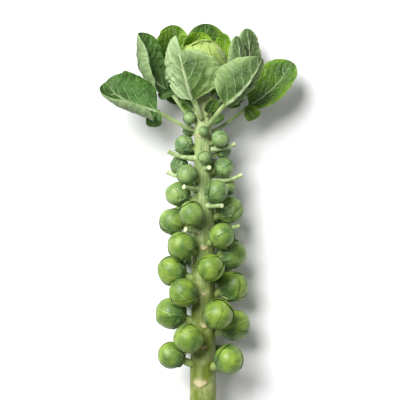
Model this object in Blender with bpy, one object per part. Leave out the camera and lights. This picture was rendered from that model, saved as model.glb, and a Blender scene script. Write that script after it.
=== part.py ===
"""A cut Brussels sprout stalk with its leafy crown, lying on a flat surface.

The stalk lies along +Y, with its cut end at -Y and its crown at +Y. It rests on the sprouts of its
underside, and two leaves of its crown lie along the surface. Tables are in millimetres in the stalk's own
frame: x to the right, y along the stem from its cut end, and z up from the stem's axis. A bearing is an
angle around the stem in degrees: 0 is straight up and 90 is +X.
"""

import math

import bmesh
import bpy
import numpy as np
from mathutils import Matrix, Vector

MM = 0.001

# Colours of the skins, linear red, green and blue, and their roughness
STEM_SKIN = ((0.38, 0.44, 0.17), 0.55)
LOW_SPROUT_SKIN = ((0.20, 0.40, 0.05), 0.38)
HIGH_SPROUT_SKIN = ((0.22, 0.36, 0.13), 0.48)
LEAF_UPPER_FACE = ((0.07, 0.20, 0.05), 0.50)
LEAF_UNDERSIDE = ((0.34, 0.47, 0.30), 0.60)
HEAD_SKIN = ((0.45, 0.58, 0.22), 0.45)

# Driving dimensions, in millimetres
STEM_LENGTH = 401.0
AXIS_HEIGHT = 52.0
GAP = 0.3
PRESSED_FLAT = 0.4
SPROUT_LEAN = 22.0
SPROUT_STRETCH = 1.04
HEAD_CENTRE = (0.0, 439.5, 0.0)
HEAD_RADIUS = 33.0
STUB_RADIUS = 2.7

SPROUT_SIDES, SPROUT_RINGS = 12, 7
HEAD_SIDES, HEAD_RINGS = 20, 11
STEM_SIDES, STEM_RINGS = 16, 14
STUB_SIDES = 8
BLADE_SECTIONS, PETIOLE_SECTIONS, HALF_ACROSS = 8, 4, 3

# Stations along the stem and its radius there: it narrows a little, then faster below the crown.
STEM_RADII = (
    (0, 16.6), (90, 15.4), (150, 14.6), (235, 14.0), (300, 10.8), (360, 10.6), (STEM_LENGTH, 10.2),
)

# Each sprout: station of its centre along the stem, bearing, radius, and length of its own short stalk
# (None where the sprout lies on the surface).
SPROUTS = (
    # left row
    (76, -74, 17.2, 8.4), (129, -85, 19.6, 5.6), (182, -83, 19.0, 5.6), (243, -84, 16.8, 8.4),
    (277.5, -82, 15.4, 4.6), (313.5, -102, 11.3, 8.6), (339, -84, 12.0, 1.6), (357, -132, 7.6, 6.0),
    (371.5, -58, 8.2, 1.0),
    # upper left row
    (98, -28, 18.6, 4.6), (155, -42, 18.0, 5.2), (213.5, -47, 17.8, 5.0), (253, -25, 15.6, 5.2),
    (302, -44, 13.0, 5.4), (356, 2, 6.6, 1.4),
    # upper right row
    (71.5, 55, 18.8, 5.0), (127.5, 29, 19.0, 4.8), (186, 15, 17.2, 4.6), (225.5, 42, 16.4, 5.0),
    (281, 33, 14.6, 4.8), (323, 5, 8.0, 2.4), (346, 62, 10.8, 2.6),
    # right row
    (114, 98, 19.6, 5.6), (162, 97, 19.6, 4.0), (202.5, 97, 18.6, 3.2), (257, 96, 17.0, 4.4),
    (287, 112, 11.6, 9.0), (311, 83, 12.8, 3.0), (331.5, 114, 9.4, 7.8),
    # underside, right row
    (71, 152, 17.8, None), (127, 152, 18.0, None), (183, 151, 17.6, None), (229, 150, 17.0, None),
    (276, 158, 14.5, 6.0), (310, 156, 12.0, 5.4), (345, 160, 8.8, 3.4),
    # underside, left row
    (98, -152, 18.0, None), (155, -151, 18.0, None), (205, -151, 17.4, None), (252, -150, 16.4, None),
    (297, -150, 13.6, 6.0), (330, -152, 10.8, 4.6),
)


STUBS = (
    (231.5, -35, 38, 2.0), (233, 96, 46, 5.0), (255, 152, 38, 2.0), (262.5, 32, 44, 0.5),
    (277.5, -150, 36, 2.0),
    (284, -40, 37, 2.5), (293, 88, 49, 8.5), (297, -95, 45, 8.0), (309.5, 18, 25, 1.0), (322, -76, 45, 9.0),
    (330, 160, 30, 2.0), (333.5, 84, 41, 6.5),
)

# Each leaf: points of its midrib from the stem to its tip, the side that its upper face looks to, the
# half widths left and right of the midrib as seen on that face with the tip up, how far each half curls up
# at its edge in degrees, the share of the blade where each half stops, the share of the path that is bare
# stalk, the share of the blade at which it is widest, how blunt each half's ends are (1 is pointed), the
# radius of the stalk, how far the right half is swept to the tip as a share of its width, and the ears at
# the foot of the blade, each with its place along the path as a share of it, its side (-1 left, 1 right)
# and its radius.
LEAVES = {
    "leaf_far_left": (
        (
            (-7, 357, -2), (-20, 360, -3), (-34, 368, 1), (-57, 380, 7),
            (-80, 388, 8), (-99, 396, 8), (-112, 405, 8), (-121, 418, 7),
        ),
        (0.06, 0.22, 0.96), (42, 36), (142, 26), (1, 1), 0.43, 0.34,
        (2.3, 2.6), 2.6, 0.35, ((0.44, -1, 9.5), (0.415, 1, 4)),
    ),
    "leaf_far_right": (
        (
            (8, 355, -4), (22, 361, -6), (36, 371, -8), (54, 385, -9),
            (76, 400, -10), (96, 419, -12), (112, 443, -15),
        ),
        (-0.30, 0.10, 0.95), (30, 20), (26, 20), (1, 1), 0.44, 0.55,
        (2.3, 2.3), 2.2, 0, ((0.43, 1, 10.0), (0.41, -1, 5)),
    ),
    "leaf_front_right": (
        (
            (6, 362, 8), (12, 370, 18), (24, 385, 30), (40, 397, 39),
            (55, 413, 45), (68, 434, 46), (73, 446, 43),
        ),
        (-0.20, 0.25, -0.94), (13, 44), (50, 46), (1, 1), 0.36, 0.34,
        (2.3, 2.0), 2.9, 0, ((0.34, -1, 6),),
    ),
    "leaf_left": (
        (
            (-9, 373, -3), (-21, 380, -8), (-38, 402, -11),
            (-60, 419, -12), (-76, 441, -12), (-75, 480, -12),
        ),
        (0.60, 0.05, 0.80), (38.5, 29), (130, 34), (1, 1), 0.38, 0.52,
        (2.3, 3.0), 2.8, 0, ((0.33, -1, 6.5),),
    ),
    "leaf_rear_left": (
        ((-5, 381, -11), (-18, 397, -27), (-32, 420, -38), (-39, 450, -39), (-37, 490, -31)),
        (0.20, -0.12, 0.95), (27, 24), (36, 15), (1, 1), 0.34, 0.52, (2.6, 2.6), 2.4, 0, (),
    ),
    "leaf_rear": (
        ((3, 380, -10), (4, 402, -30), (4, 424, -46), (4, 458, -47), (3, 492, -40)),
        (0.00, -0.15, 0.98), (28, 28), (12, 16), (1, 1), 0.34, 0.52, (2.8, 2.8), 2.4, 0, (),
    ),
    "leaf_right": (
        ((9, 374, -6), (28, 392, -9), (46, 416, -11), (57, 446, -12), (55, 485, -14)),
        (-0.42, -0.05, -0.90), (22, 17), (26, 30), (1, 1), 0.40, 0.46, (2.3, 2.3), 2.8, 0, (),
    ),
    "leaf_inner_right": (
        ((9, 380, 3), (23, 396, 8), (38, 414, 15), (46, 438, 16), (42, 475, 8)),
        (-0.50, -0.05, -0.86), (16, 18), (30, 44), (1, 1), 0.34, 0.38, (1.6, 1.6), 2.2, 0, (),
    ),
    "leaf_under_left": (
        ((-5, 366, -9), (-14, 378, -28), (-28, 398, -46), (-42, 424, -50), (-52, 456, -46)),
        (0.02, 0.02, 1.00), (21, 21), (16, 10), (1, 1), 0.40, 0.50, (2.3, 2.3), 2.4, 0, (),
    ),
    "leaf_under_right": (
        ((6, 362, -9), (16, 376, -28), (30, 396, -46), (44, 420, -50), (56, 450, -47)),
        (-0.02, 0.02, 1.00), (21, 21), (10, 16), (1, 1), 0.40, 0.50, (2.3, 2.3), 2.4, 0, (),
    ),
    "small_leaf_front": (
        ((5, 374, 11), (7, 380, 15), (9, 386, 18), (12, 391, 20), (15, 396, 22)),
        (0.30, -0.45, 0.84), (9, 9), (16, 16), (1, 1), 0.24, 0.45, (2.3, 2.3), 1.8, 0, (),
    ),
    "small_leaf_left": (
        ((-9, 380, 1), (-14, 384, 3), (-19, 389, 5), (-22, 393, 7), (-25, 398, 8)),
        (0.20, -0.20, 0.95), (8, 8), (24, 24), (1, 1), 0.30, 0.50, (2.3, 2.3), 1.8, 0, (),
    ),
    "small_leaf_right": (
        ((9, 364, 3), (13, 366, 5), (17, 369, 6), (21, 372, 6), (26, 375, 5)),
        (-0.30, 0.50, 0.80), (7, 7), (20, 20), (1, 1), 0.24, 0.50, (2.3, 2.3), 1.6, 0, (),
    ),
    "head_wrapper_leaf": (
        (
            (-1, 370, 11), (-8, 388, 20), (-15, 403, 26), (-20, 420, 30),
            (-25, 439, 30), (-29, 457, 27), (-34, 475, 21),
        ),
        (0.60, 0.12, -0.79), (51, 51), (68, 30), (0.74, 1), 0.27, 0.40, (2.0, 1.8), 3.4, 0, (),
    ),
    "head_collar_leaf_left": (
        (
            (-3, 394, -10), (-9, 408, -26), (-12, 424, -34),
            (-12, 440, -37), (-10, 458, -33), (-6, 481, -18),
        ),
        (0.25, -0.10, 0.95), (25, 25), (44, 40), (1, 1), 0.22, 0.58, (3.0, 3.0), 2.2, 0, (),
    ),
    "head_collar_leaf_right": (
        ((4, 390, -10), (13, 405, -26), (20, 421, -32), (25, 440, -33), (27, 458, -30), (27, 479, -18)),
        (-0.45, -0.10, 0.88), (15.5, 18), (35, 40), (1, 1), 0.22, 0.55, (2.3, 2.3), 2.4, 0, (),
    ),
}

BLADE_HALF_THICKNESS = 0.7
FOLD_AT_MIDRIB = 8.0
EAR_REACH = 2.1
LEAST_CURL = 0.01


def stem_radius(station):
    """The stem's radius at a station."""
    return float(np.interp(station, *zip(*STEM_RADII)))


def outward(bearing):
    """The unit vector away from the stem's axis at a bearing."""
    angle = math.radians(bearing)
    return Vector((math.sin(angle), 0.0, math.cos(angle)))


def make_material(name, skin):
    colour, roughness = skin
    material = bpy.data.materials.new(name)
    material.use_nodes = True
    shader = material.node_tree.nodes["Principled BSDF"]
    shader.inputs["Base Color"].default_value = (*colour, 1.0)
    shader.inputs["Roughness"].default_value = roughness
    shader.inputs["Metallic"].default_value = 0.0
    return material


def add_object(name, bm, skin, parent, smooth_below=40.0):
    """A named object made from bm, with its own material, shaded smooth but for its sharp edges."""
    bmesh.ops.recalc_face_normals(bm, faces=bm.faces)
    mesh = bpy.data.meshes.new(name)
    bm.to_mesh(mesh)
    bm.free()
    mesh.shade_smooth()
    mesh.set_sharp_from_angle(angle=math.radians(smooth_below))
    mesh.materials.append(make_material(name, skin))
    obj = bpy.data.objects.new(name, mesh)
    bpy.context.scene.collection.objects.link(obj)
    obj.parent = parent
    return obj


def lathe(profile, sides):
    """A closed turned body about +Z from (radius, height) points that start and end on the axis."""
    bm = bmesh.new()
    points = [bm.verts.new((r * MM, 0.0, z * MM)) for r, z in profile]
    edges = [bm.edges.new(pair) for pair in zip(points, points[1:])]
    bmesh.ops.spin(
        bm, geom=points + edges, cent=(0, 0, 0), axis=(0, 0, 1), angle=math.tau, steps=sides, use_merge=True
    )
    bmesh.ops.remove_doubles(bm, verts=bm.verts, dist=0.01 * MM)
    return bm


def loft(rings):
    """A closed body through rings of points, with a flat cap on its first and last ring."""
    bm = bmesh.new()
    loops = [[bm.verts.new(Vector(p) * MM) for p in ring] for ring in rings]
    for low, high in zip(loops, loops[1:]):
        for i, corner in enumerate(low):
            j = (i + 1) % len(low)
            bm.faces.new((corner, low[j], high[j], high[i]))
    bm.faces.new(loops[0][::-1])
    bm.faces.new(loops[-1])
    return bm


def smooth_path(points, count):
    """Evenly spaced points on the Catmull-Rom curve through the given ones."""
    p = np.array(points, float)
    p = np.vstack([2 * p[0] - p[1], p, 2 * p[-1] - p[-2]])
    dense = []
    for a, b, c, d in zip(p, p[1:], p[2:], p[3:]):
        for t in np.linspace(0, 1, 24, endpoint=False):
            dense.append(0.5 * (2 * b + (c - a) * t + (2 * a - 5 * b + 4 * c - d) * t**2
                                + (3 * b - a - 3 * c + d) * t**3))
    dense = np.array(dense + [p[-2]])
    along = np.concatenate([[0], np.cumsum(np.linalg.norm(np.diff(dense, axis=0), axis=1))])
    at = count * along[-1] if np.isscalar(count) else np.array(count) * along[-1]
    return np.stack([np.interp(at, along, dense[:, k]) for k in range(3)], axis=1), along[-1]


def blade_half_width(share, widest, bare, stop, fullest, blunt):
    """The half width of an oval blade at a share of the leaf's path."""
    up_blade = min(1.0, max(0.0, (share - bare) / (1 - bare)) / stop)
    t = up_blade ** (math.log(0.5) / math.log(fullest))
    return widest * math.sqrt(max(0.0, 1 - abs(2 * t - 1) ** blunt))


def ear_half_width(share, length, ears, side):
    """The half width of the ears on one side of the stalk."""
    widest = 0.0
    for place, ear_side, radius in ears:
        if ear_side == side:
            off = (share - place) * length / radius
            widest = max(widest, radius * EAR_REACH * math.sqrt(max(0.0, 1 - off**2)))
    return widest


def leaf_rings(path, face, widths, curls, stops, bare, fullest, blunts, stalk_radius, sweep, ears):
    """The rings of points of one leaf, from its stalk's foot to its tip."""
    blade_shares = bare + (1 - bare) * (1 - np.cos(np.linspace(0.12, 0.97, BLADE_SECTIONS) * math.pi)) / 2
    shares = np.concatenate([np.linspace(0, bare, PETIOLE_SECTIONS), blade_shares])
    ear_shares = [place + side for place, _, _ in ears for side in (-0.035, 0.0, 0.035)]
    shares = np.unique(np.round(np.concatenate([shares, ear_shares]), 3))
    centres, length = smooth_path(path, shares)
    ahead, _ = smooth_path(path, np.clip(shares + 0.02, 0, 1))
    behind, _ = smooth_path(path, np.clip(shares - 0.02, 0, 1))
    rings = []
    for share, centre, tangent in zip(shares, centres, ahead - behind):
        along = Vector(tangent).normalized()
        up = Vector(face)
        up = (up - along * up.dot(along)).normalized()
        right = along.cross(up)
        rib = stalk_radius * (1 - 0.75 * max(0.0, (share - bare) / (1 - bare)))
        upper, lower = [], []
        for step in range(-HALF_ACROSS, HALF_ACROSS + 1):
            side = -1 if step < 0 else 1
            index = 0 if side < 0 else 1
            blade = blade_half_width(share, widths[index], bare, stops[index], fullest, blunts[index])
            half = max(blade, ear_half_width(share, length, ears, side), rib)
            v = (abs(step) / HALF_ACROSS) ** 1.35
            curl = max(math.radians(curls[index]) * blade / widths[index], LEAST_CURL)
            fold = math.radians(FOLD_AT_MIDRIB) * blade / widths[index]
            away = half * (math.sin(fold + curl * v) - math.sin(fold)) / curl
            rise = half * (math.cos(fold) - math.cos(fold + curl * v)) / curl
            forward = along * (sweep * half * v if side > 0 else 0.0)
            surface = Vector(centre) + right * side * away + up * rise + forward
            normal = up * math.cos(fold + curl * v) - right * side * math.sin(fold + curl * v)
            round_part = math.sqrt(max(0.0, rib**2 - (half * v) ** 2))
            edge = BLADE_HALF_THICKNESS * (0.4 if abs(step) == HALF_ACROSS else 1.0)
            upper.append(surface + normal * max(edge, 0.6 * round_part))
            lower.append(surface - normal * max(edge, round_part))
        rings.append(upper + lower[::-1])
    return rings


def make_stem(parent):
    """The stem: a narrowing round column with a cut foot, joined to the cut leaf stalks that stay on it."""
    stations = np.concatenate([[0.0, 1.2], np.linspace(18, STEM_LENGTH, STEM_RINGS)])
    rings = []
    for station in stations:
        radius = stem_radius(station) - (1.0 if station == 0 else 0.0)
        ring = [outward(360 * i / STEM_SIDES) * radius + Vector((0, station, 0)) for i in range(STEM_SIDES)]
        rings.append(ring)
    stem = add_object("stem", loft(rings), STEM_SKIN, parent)
    stubs = bpy.data.collections.new("stubs")
    bpy.context.scene.collection.children.link(stubs)
    stubs.hide_render = True
    for number, row in enumerate(STUBS, 1):
        add_stub(number, row, parent, stubs)
    union = stem.modifiers.new("stubs", "BOOLEAN")
    union.operation = "UNION"
    union.operand_type = "COLLECTION"
    union.collection = stubs
    return stem


def add_stub(number, row, parent, collection):
    """A leaf stalk cut short: it leaves the stem level, swollen at its foot, and bends up to its end."""
    station, bearing, reach, rise = row
    away = outward(bearing)
    across = Vector((0, 1, 0)).cross(away)
    start = 0.55 * stem_radius(station)
    rings = []
    for share in (0.0, 0.3, 0.65, 1.0):
        radius = STUB_RADIUS * (1 + 0.55 * (1 - share) ** 3)
        centre = away * (start + (reach - start) * share) + Vector((0, station + rise * share**2.5, 0))
        ring = []
        for i in range(STUB_SIDES):
            angle = math.tau * i / STUB_SIDES
            along = Vector((0, radius * math.sin(angle), 0))
            ring.append(centre + across * radius * math.cos(angle) + along)
        rings.append(ring)
    stub = add_object(f"stub_{number:02d}", loft(rings), STEM_SKIN, parent)
    stub.hide_render = True
    stub.display_type = "WIRE"
    bpy.context.scene.collection.objects.unlink(stub)
    collection.objects.link(stub)


def make_clearance(parent):
    """The cutter that keeps every sprout and leaf stalk clear of the stem by the gap."""
    rings = []
    for station in np.linspace(-10, STEM_LENGTH + GAP, 26):
        radius = stem_radius(station) + GAP
        ring = [outward(360 * i / STEM_SIDES) * radius + Vector((0, station, 0)) for i in range(STEM_SIDES)]
        rings.append(ring)
    cutter = add_object("stem_clearance", loft(rings), STEM_SKIN, parent)
    cutter.hide_render = True
    cutter.display_type = "WIRE"
    return cutter


def cut_clear(obj, cutter):
    cut = obj.modifiers.new("clear_of_stem", "BOOLEAN")
    cut.operation = "DIFFERENCE"
    cut.object = cutter


def sprout_profile(radius, stalk):
    """(radius, height) points of a sprout on its short stalk, with its ball's centre at height 0."""
    neck = 0.24 * radius
    foot = -(radius + stalk)
    facet_radius = radius / math.cos(math.pi / SPROUT_SIDES) ** 0.5
    points = [(0.0, foot), (neck, foot)]
    low = math.asin(neck / radius)
    for angle in np.linspace(low, math.pi, SPROUT_RINGS):
        height = -math.cos(angle) * radius * SPROUT_STRETCH
        points.append((facet_radius * math.sin(angle), height))
    points[-1] = (0.0, points[-1][1])
    return points


def sprout_skin(station):
    """A sprout's skin: the young ones under the crown are bluer and duller than those at the foot."""
    share = station / STEM_LENGTH
    (low, low_roughness), (high, high_roughness) = LOW_SPROUT_SKIN, HIGH_SPROUT_SKIN
    colour = tuple(a + (b - a) * share for a, b in zip(low, high))
    return colour, low_roughness + (high_roughness - low_roughness) * share


def make_sprout(number, row, parent, cutter):
    station, bearing, radius, stalk = row
    rests = stalk is None
    if rests:
        off_vertical = math.cos(math.radians(180 - abs(bearing)))
        distance = (AXIS_HEIGHT + PRESSED_FLAT - radius) / off_vertical
    else:
        distance = stem_radius(station) + radius + stalk
    lean = math.radians(SPROUT_LEAN)
    away = outward(bearing)
    centre = away * distance + Vector((0, station, 0))
    axis = away * math.cos(lean) + Vector((0, math.sin(lean), 0))
    to_stem = (distance - 0.6 * stem_radius(station)) / math.cos(lean)
    bm = lathe(sprout_profile(radius, to_stem - radius), SPROUT_SIDES)
    turn = axis.to_track_quat("Z", "Y")
    if rests:
        place = Matrix.Translation(centre * MM) @ turn.to_matrix().to_4x4()
        floor_point = place.inverted() @ Vector((0, station * MM, -AXIS_HEIGHT * MM))
        floor_normal = turn.inverted() @ Vector((0, 0, 1))
        everything = bm.verts[:] + bm.edges[:] + bm.faces[:]
        cut = bmesh.ops.bisect_plane(
            bm, geom=everything, plane_co=floor_point, plane_no=floor_normal, clear_inner=True
        )
        rim = [e for e in cut["geom_cut"] if isinstance(e, bmesh.types.BMEdge)]
        bmesh.ops.contextual_create(bm, geom=rim)
    sprout = add_object(f"sprout_{number:02d}", bm, sprout_skin(station), parent)
    sprout.location = centre * MM
    sprout.rotation_mode = "QUATERNION"
    sprout.rotation_quaternion = turn
    cut_clear(sprout, cutter)


def make_head(parent):
    """The crown's closed head, which stands on the top of the stem."""
    foot = STEM_LENGTH + GAP - HEAD_CENTRE[1]
    low = math.asin(0.3)
    points = [(0.0, foot), (0.3 * HEAD_RADIUS, foot)]
    for angle in np.linspace(low, math.pi, HEAD_RINGS)[1:]:
        points.append((HEAD_RADIUS * math.sin(angle), -math.cos(angle) * HEAD_RADIUS))
    points[-1] = (0.0, points[-1][1])
    head = add_object("crown_head", lathe(points, HEAD_SIDES), HEAD_SKIN, parent)
    head.location = Vector(HEAD_CENTRE) * MM
    head.rotation_euler = (-math.pi / 2, 0, 0)


def make_leaf(name, row, parent, cutter):
    path, face = row[:2]
    rings = leaf_rings(*row)
    foot = Vector(path[0])
    skin = LEAF_UNDERSIDE if face[2] < 0 else LEAF_UPPER_FACE
    leaf = add_object(name, loft([[p - foot for p in ring] for ring in rings]), skin, parent)
    leaf.location = foot * MM
    cut_clear(leaf, cutter)


def centre_on_base(parent):
    """Moves the stalk so that the origin is the middle of its box's underside."""
    bpy.context.view_layer.update()
    graph = bpy.context.evaluated_depsgraph_get()
    low, high = np.full(3, np.inf), np.full(3, -np.inf)
    for obj in bpy.context.scene.collection.objects:
        if obj.type == "MESH" and not obj.hide_render:
            evaluated = obj.evaluated_get(graph)
            points = np.array([evaluated.matrix_world @ v.co for v in evaluated.data.vertices])
            low, high = np.minimum(low, points.min(0)), np.maximum(high, points.max(0))
    middle = (low + high) / 2
    parent.location = Vector((-middle[0], -middle[1], -low[2]))


for leftover in list(bpy.data.objects):
    bpy.data.objects.remove(leftover)

stalk_axis = bpy.data.objects.new("stalk_axis", None)
bpy.context.scene.collection.objects.link(stalk_axis)
make_stem(stalk_axis)
clearance = make_clearance(stalk_axis)
for count, sprout_row in enumerate(SPROUTS, 1):
    make_sprout(count, sprout_row, stalk_axis, clearance)
make_head(stalk_axis)
for leaf_name, leaf_row in LEAVES.items():
    make_leaf(leaf_name, leaf_row, stalk_axis, clearance)
centre_on_base(stalk_axis)
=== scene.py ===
import math

import bmesh
import bpy
import numpy as np
from mathutils import Matrix, Vector


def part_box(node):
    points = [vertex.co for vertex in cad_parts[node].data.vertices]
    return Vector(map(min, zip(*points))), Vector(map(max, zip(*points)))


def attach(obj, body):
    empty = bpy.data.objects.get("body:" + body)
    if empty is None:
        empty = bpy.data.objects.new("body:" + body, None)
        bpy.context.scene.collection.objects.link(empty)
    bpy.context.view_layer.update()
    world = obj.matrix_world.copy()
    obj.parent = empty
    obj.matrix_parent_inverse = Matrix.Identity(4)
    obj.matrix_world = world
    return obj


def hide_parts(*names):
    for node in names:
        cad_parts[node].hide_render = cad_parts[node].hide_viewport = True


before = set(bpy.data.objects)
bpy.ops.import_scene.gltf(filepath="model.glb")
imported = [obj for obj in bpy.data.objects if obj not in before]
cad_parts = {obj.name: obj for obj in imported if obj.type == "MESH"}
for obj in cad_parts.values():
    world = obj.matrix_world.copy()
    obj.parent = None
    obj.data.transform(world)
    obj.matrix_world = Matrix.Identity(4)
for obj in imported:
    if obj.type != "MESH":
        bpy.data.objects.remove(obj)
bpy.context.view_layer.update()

# ---------------------------------------------------------------------------------------------------------
# The stem. It is a ridged woody column that grew in one piece and was sawn off at its foot. Where a leaf
# has dropped, it keeps a raised, corky, lens-shaped scar just under the sprout that grew above that leaf.
# ---------------------------------------------------------------------------------------------------------
MM = 0.001
STEM_LENGTH = 401.0
STEM_RADII = ((0, 16.6), (90, 15.4), (150, 14.6), (235, 14.0), (300, 10.8), (360, 10.6), (401, 10.2))
STEM_AROUND, STEM_ALONG = 128, 400
# Station, bearing and half width of the scars that no sprout hides
BARE_SCARS = (
    (41, -14, 11.0), (36, 88, 5.0), (22, -80, 5.0), (48, 170, 6.0), (30, -150, 6.0), (86, 2, 5.0),
    (113, 6, 6.5), (210, 3, 6.0), (229, -27, 4.0), (152, 4, 4.0), (350, -22, 4.5),
)
HIDDEN_SCAR = 4.5
# How far below its sprout's middle a hidden scar lies, as a share of the sprout's radius
SCAR_BELOW = 0.55

def linear(code):
    """An sRGB hex colour as linear red, green, blue and alpha."""
    parts = [int(code[i : i + 2], 16) / 255 for i in (1, 3, 5)]
    return (*[c / 12.92 if c <= 0.04045 else ((c + 0.055) / 1.055) ** 2.4 for c in parts], 1.0)


def fill(tree, node, sockets):
    """Fills a node's sockets, each with a value, or with the output in use of a node, or with an output."""
    for key, value in sockets.items():
        if isinstance(value, bpy.types.Node):
            value = next(output for output in value.outputs if output.enabled)
        if isinstance(value, bpy.types.NodeSocket):
            tree.links.new(value, node.inputs[key])
        else:
            node.inputs[key].default_value = value


def add(tree, kind, *inputs, **settings):
    """Adds a node. A colon in kind comes before its operation, or else its data type. Each input is for the
    socket of that number, or is a dictionary by the sockets' names or numbers."""
    kind, _, mode = kind.partition(":")
    family = next(
        (name for name in ("Shader", "Geometry", "Function") if hasattr(bpy.types, name + "Node" + kind))
    )
    node = tree.nodes.new(family + "Node" + kind)
    if mode:
        setattr(node, "operation" if hasattr(node, "operation") else "data_type", mode)
    for key, value in settings.items():
        setattr(node, key, value)
    for number, value in enumerate(inputs):
        fill(tree, node, value if isinstance(value, dict) else {number: value})
    return node


def new_material(name):
    """A named material with its tree and its Principled shader."""
    material = bpy.data.materials.new(name)
    material.use_nodes = True
    return material, material.node_tree, material.node_tree.nodes["Principled BSDF"]


head_low, head_high = (Vector(corner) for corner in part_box("crown_head"))
# The point where the stem's axis meets its cut end
FOOT = Vector(((head_low.x + head_high.x) / 2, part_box("stem")[0][1], (head_low.z + head_high.z) / 2))


def in_place(point):
    """A point of the stalk's own frame, in millimetres, put where the frame has it."""
    return FOOT + Vector(point) * MM


def outward(bearing):
    """The unit vector away from the stem's axis: 0 degrees is straight up and 90 is to the right."""
    angle = math.radians(bearing)
    return Vector((math.sin(angle), 0.0, math.cos(angle)))


def stem_radius(station):
    return float(np.interp(station, *zip(*STEM_RADII)))


def new_tree(name, sizes):
    """A geometry tree with a named input for each size, its group input and its output node."""
    tree = bpy.data.node_groups.new(name, "GeometryNodeTree")
    tree.interface.new_socket(name="Geometry", in_out="INPUT", socket_type="NodeSocketGeometry")
    kinds = {float: "NodeSocketFloat", int: "NodeSocketInt", tuple: "NodeSocketVector"}
    for size, value in sizes.items():
        kind = kinds.get(type(value), "NodeSocketMaterial")
        tree.interface.new_socket(name=size, in_out="INPUT", socket_type=kind).default_value = value
    tree.interface.new_socket(name="Geometry", in_out="OUTPUT", socket_type="NodeSocketGeometry")
    return tree, tree.nodes.new("NodeGroupInput").outputs, tree.nodes.new("NodeGroupOutput").inputs


def end_tree(tree, shape, skin, result):
    """Shades a tree's shape smooth, gives it its skin and makes it the tree's result."""
    smooth = add(tree, "SetShadeSmooth", {"Geometry": shape})
    skinned = add(tree, "SetMaterial", {"Geometry": smooth, "Material": skin})
    tree.links.new(add(tree, "RealizeInstances", skinned).outputs[0], result[0])


def grow(name, data, tree, sizes):
    """A plain mesh object from running a geometry tree once over data."""
    seedling = bpy.data.objects.new(name + "_start", data)
    bpy.context.scene.collection.objects.link(seedling)
    modifier = seedling.modifiers.new("grow", "NODES")
    modifier.node_group = tree
    for socket in tree.interface.items_tree:
        if socket.in_out == "INPUT" and socket.name in sizes:
            modifier[socket.identifier] = sizes[socket.name]
    graph = bpy.context.evaluated_depsgraph_get()
    mesh = bpy.data.meshes.new_from_object(
        seedling.evaluated_get(graph), preserve_all_data_layers=True, depsgraph=graph
    )
    bpy.data.objects.remove(seedling)
    mesh.name = name
    grown = bpy.data.objects.new(name, mesh)
    bpy.context.scene.collection.objects.link(grown)
    return grown


def face_outwards(obj):
    bm = bmesh.new()
    bm.from_mesh(obj.data)
    bmesh.ops.recalc_face_normals(bm, faces=bm.faces)
    bm.to_mesh(obj.data)
    bm.free()


def joined(name, objects):
    """Several objects made one."""
    with bpy.context.temp_override(active_object=objects[0], selected_editable_objects=objects):
        bpy.ops.object.join()
    objects[0].name = name
    return objects[0]


# Living cabbage stem: a waxy yellow-green skin over wood, streaked lengthwise, with pink-tan corky scars.
stem_skin, tree, shader = new_material("waxy_stem_skin")
place = add(tree, "TexCoord")
long_way = add(tree, "Mapping", place.outputs["Object"], {3: (1.0, 0.12, 1.0)})
streaks = add(tree, "TexNoise", {"Vector": long_way, "Scale": 200.0, "Detail": 6.0, "Roughness": 0.55})
blotches = add(tree, "TexNoise", {"Vector": place.outputs["Object"], "Scale": 55.0, "Detail": 3.0})
height_on_stem = add(tree, "SeparateXYZ", place.outputs["Object"])
up_stem = add(tree, "MapRange", height_on_stem.outputs[1], FOOT.y + 0.1, FOOT.y + 0.34)
ends = []
for dark, light in (("#586618", "#6d7c24"), ("#748c51", "#8fa567")):
    green = add(tree, "ValToRGB", streaks)
    green.color_ramp.elements[0].position, green.color_ramp.elements[1].position = 0.36, 0.66
    green.color_ramp.elements[0].color, green.color_ramp.elements[1].color = linear(dark), linear(light)
    ends.append(green)
green = add(tree, "Mix:RGBA", up_stem, {6: ends[0], 7: ends[1]})
pale = add(tree, "MapRange", blotches, 0.5, 0.72, 0.0, 0.38)
growing_tip = add(tree, "MapRange", height_on_stem.outputs[1], FOOT.y + 0.335, FOOT.y + 0.37, 0.0, 0.6)
pale = add(tree, "Math:MAXIMUM", pale, growing_tip)
skin = add(tree, "Mix:RGBA", pale, {6: green, 7: linear("#c6cf95")})
scar = add(tree, "Attribute", attribute_name="scar")
rim = add(tree, "Attribute", attribute_name="rim")
with_rim = add(tree, "Mix:RGBA", rim.outputs["Fac"], {6: skin, 7: linear("#7b7a45")})
crumbs = add(tree, "TexNoise", {"Vector": place.outputs["Object"], "Scale": 900.0, "Detail": 4.0})
crumb = add(tree, "MapRange", crumbs, 0.3, 0.7)
cork = add(tree, "Mix:RGBA", crumb, {6: linear("#9c8c64"), 7: linear("#c4ba90")})
with_scar = add(tree, "Mix:RGBA", scar.outputs["Fac"], {6: with_rim, 7: cork})
rough_cork = add(tree, "Math:MULTIPLY_ADD", crumbs, scar.outputs["Fac"], streaks)
grain = add(tree, "Bump", {"Height": rough_cork, "Strength": 0.35, "Distance": 0.0007})
fill(tree, shader, {"Base Color": with_scar, "Normal": grain, "Roughness": 0.5, "IOR": 1.45})

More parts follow.
